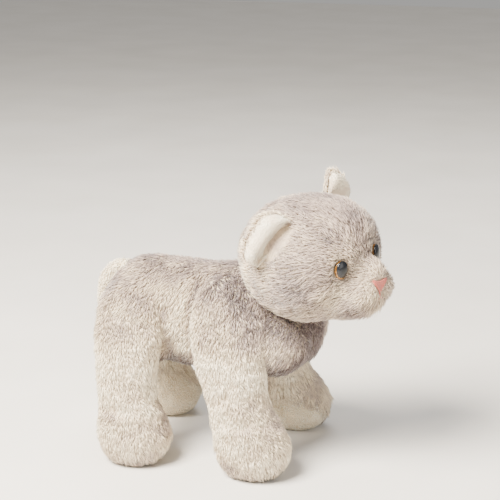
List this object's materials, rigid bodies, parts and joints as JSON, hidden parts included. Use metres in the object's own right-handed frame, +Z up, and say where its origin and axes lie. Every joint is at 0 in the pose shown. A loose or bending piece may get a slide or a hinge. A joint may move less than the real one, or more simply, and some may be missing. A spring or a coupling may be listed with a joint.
{
  "type": "plush cat",
  "caption": "Standing bean-filled plush cat of deep grey pile, with cream ears, tail and soles, round amber eyes and its head turned to its right.",
  "frame": {"origin": "middle of the bounding box, on the ground under the soles", "axes": "+X from the rump towards the nose, +Y to the cat's left, +Z up"},
  "size_m": [0.2118, 0.1382, 0.1848],
  "materials": {
    "grey_plush": "deep pile plush, light warm grey with lilac roots",
    "cream_plush": "short pile velour, cream",
    "filling": "loose polyester fibre",
    "bean_bag": "thin cloth bag of plastic pellets",
    "pink_thread": "satin stitch",
    "amber_plastic": "moulded, glossy",
    "black_plastic": "moulded, glossy",
    "washer_plastic": "moulded, natural"
  },
  "bodies": {
    "torso": {"belly_gusset": "grey_plush", "torso_cover_left": "grey_plush", "torso_cover_right": "grey_plush", "torso_pellet_bag": "bean_bag", "torso_stuffing": "filling"},
    "neck": {"neck_cover": "grey_plush", "neck_stuffing": "filling"},
    "head": {"head_back_cover": "grey_plush", "head_face_cover": "grey_plush", "head_stuffing": "filling", "left_eye_button": "amber_plastic", "left_eye_pupil": "black_plastic", "left_eye_washer": "washer_plastic", "mouth_stitch": "pink_thread", "nose_embroidery": "pink_thread", "right_eye_button": "amber_plastic", "right_eye_pupil": "black_plastic", "right_eye_washer": "washer_plastic"},
    "ear_right": {"right_ear_back": "grey_plush", "right_ear_lining": "cream_plush"},
    "ear_left": {"left_ear_back": "grey_plush", "left_ear_lining": "cream_plush"},
    "leg_front_right": {"front_right_leg_inner_panel": "grey_plush", "front_right_leg_outer_panel": "grey_plush", "front_right_leg_stuffing": "filling", "front_right_paw_pellets": "bean_bag", "front_right_paw_sole": "cream_plush"},
    "leg_front_left": {"front_left_leg_inner_panel": "grey_plush", "front_left_leg_outer_panel": "grey_plush", "front_left_leg_stuffing": "filling", "front_left_paw_pellets": "bean_bag", "front_left_paw_sole": "cream_plush"},
    "leg_hind_right": {"hind_right_leg_inner_panel": "grey_plush", "hind_right_leg_outer_panel": "grey_plush", "hind_right_leg_stuffing": "filling", "hind_right_paw_pellets": "bean_bag", "hind_right_paw_sole": "cream_plush"},
    "leg_hind_left": {"hind_left_leg_inner_panel": "grey_plush", "hind_left_leg_outer_panel": "grey_plush", "hind_left_leg_stuffing": "filling", "hind_left_paw_pellets": "bean_bag", "hind_left_paw_sole": "cream_plush"},
    "tail": {"tail_cover": "cream_plush", "tail_stuffing": "filling"}
  },
  "joints": [
    {"name": "neck_turn", "type": "hinge", "parent": "torso", "child": "neck", "pos_m": [0.02125, 0, 0.111], "axis": [0.5736, 0, 0.8192], "range_deg": [-30, 30], "stiffness_Nm_per_rad": 0.3},
    {"name": "head_nod", "type": "hinge", "parent": "neck", "child": "head", "pos_m": [0.02125, 0, 0.111], "axis": [0, 1, 0], "range_deg": [-12, 12], "stiffness_Nm_per_rad": 0.3},
    {"name": "ear_fold_right", "type": "hinge", "parent": "head", "child": "ear_right", "pos_m": [0.02959, -0.03894, 0.156], "axis": [-0.5783, -0.158, -0.8004], "range_deg": [-10, 10], "stiffness_Nm_per_rad": 0.002},
    {"name": "ear_fold_left", "type": "hinge", "parent": "head", "child": "ear_left", "pos_m": [0.05064, 0.02991, 0.156], "axis": [0.3911, -0.4544, 0.8004], "range_deg": [-10, 10], "stiffness_Nm_per_rad": 0.002},
    {"name": "leg_swing_front_right", "type": "hinge", "parent": "torso", "child": "leg_front_right", "pos_m": [0.00325, -0.035, 0.092], "axis": [0, 1, 0], "range_deg": [-30, 10], "stiffness_Nm_per_rad": 0.3},
    {"name": "leg_swing_front_left", "type": "hinge", "parent": "torso", "child": "leg_front_left", "pos_m": [0.00325, 0.035, 0.092], "axis": [0, 1, 0], "range_deg": [-30, 10], "stiffness_Nm_per_rad": 0.3},
    {"name": "leg_swing_hind_right", "type": "hinge", "parent": "torso", "child": "leg_hind_right", "pos_m": [-0.06875, -0.035, 0.092], "axis": [0, 1, 0], "range_deg": [-10, 30], "stiffness_Nm_per_rad": 0.3},
    {"name": "leg_swing_hind_left", "type": "hinge", "parent": "torso", "child": "leg_hind_left", "pos_m": [-0.06875, 0.035, 0.092], "axis": [0, 1, 0], "range_deg": [-10, 30], "stiffness_Nm_per_rad": 0.3},
    {"name": "tail_lift", "type": "hinge", "parent": "torso", "child": "tail", "pos_m": [-0.08775, 0, 0.121], "axis": [0, 1, 0], "range_deg": [0, 60], "stiffness_Nm_per_rad": 0.01}
  ]
}
